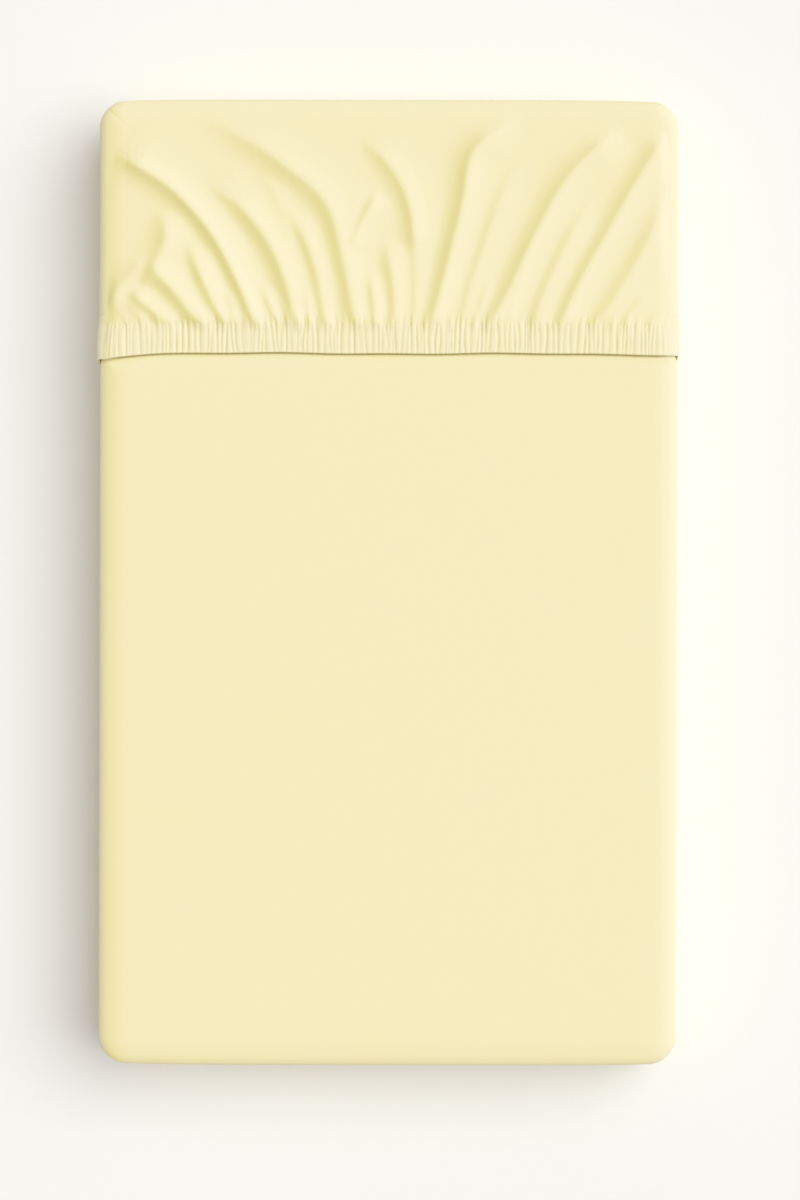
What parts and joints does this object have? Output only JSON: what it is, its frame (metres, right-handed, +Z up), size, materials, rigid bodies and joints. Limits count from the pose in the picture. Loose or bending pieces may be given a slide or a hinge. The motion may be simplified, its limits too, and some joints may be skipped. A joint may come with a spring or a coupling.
{
  "type": "fitted sheet on mattress",
  "caption": "Fitted cot sheet pulled over the head end of a mattress lying face down; its gathered elastic hem crosses the upper face and runs down and round the walls.",
  "frame": {"origin": "on the surface it rests on, under the middle of the overall box", "axes": "+Y towards the head end, where the sheet comes over the upper face; +Z up; +X to the right as seen from above with the head end at the top"},
  "size_m": [0.605, 1.0054, 0.1079],
  "materials": {
    "sheet_cotton": "soft plain cotton, pale yellow",
    "mattress_cover": "smooth stretch cover, pale yellow"
  },
  "bodies": {
    "root": {"fitted_sheet": "sheet_cotton", "mattress": "mattress_cover"}
  },
  "joints": []
}
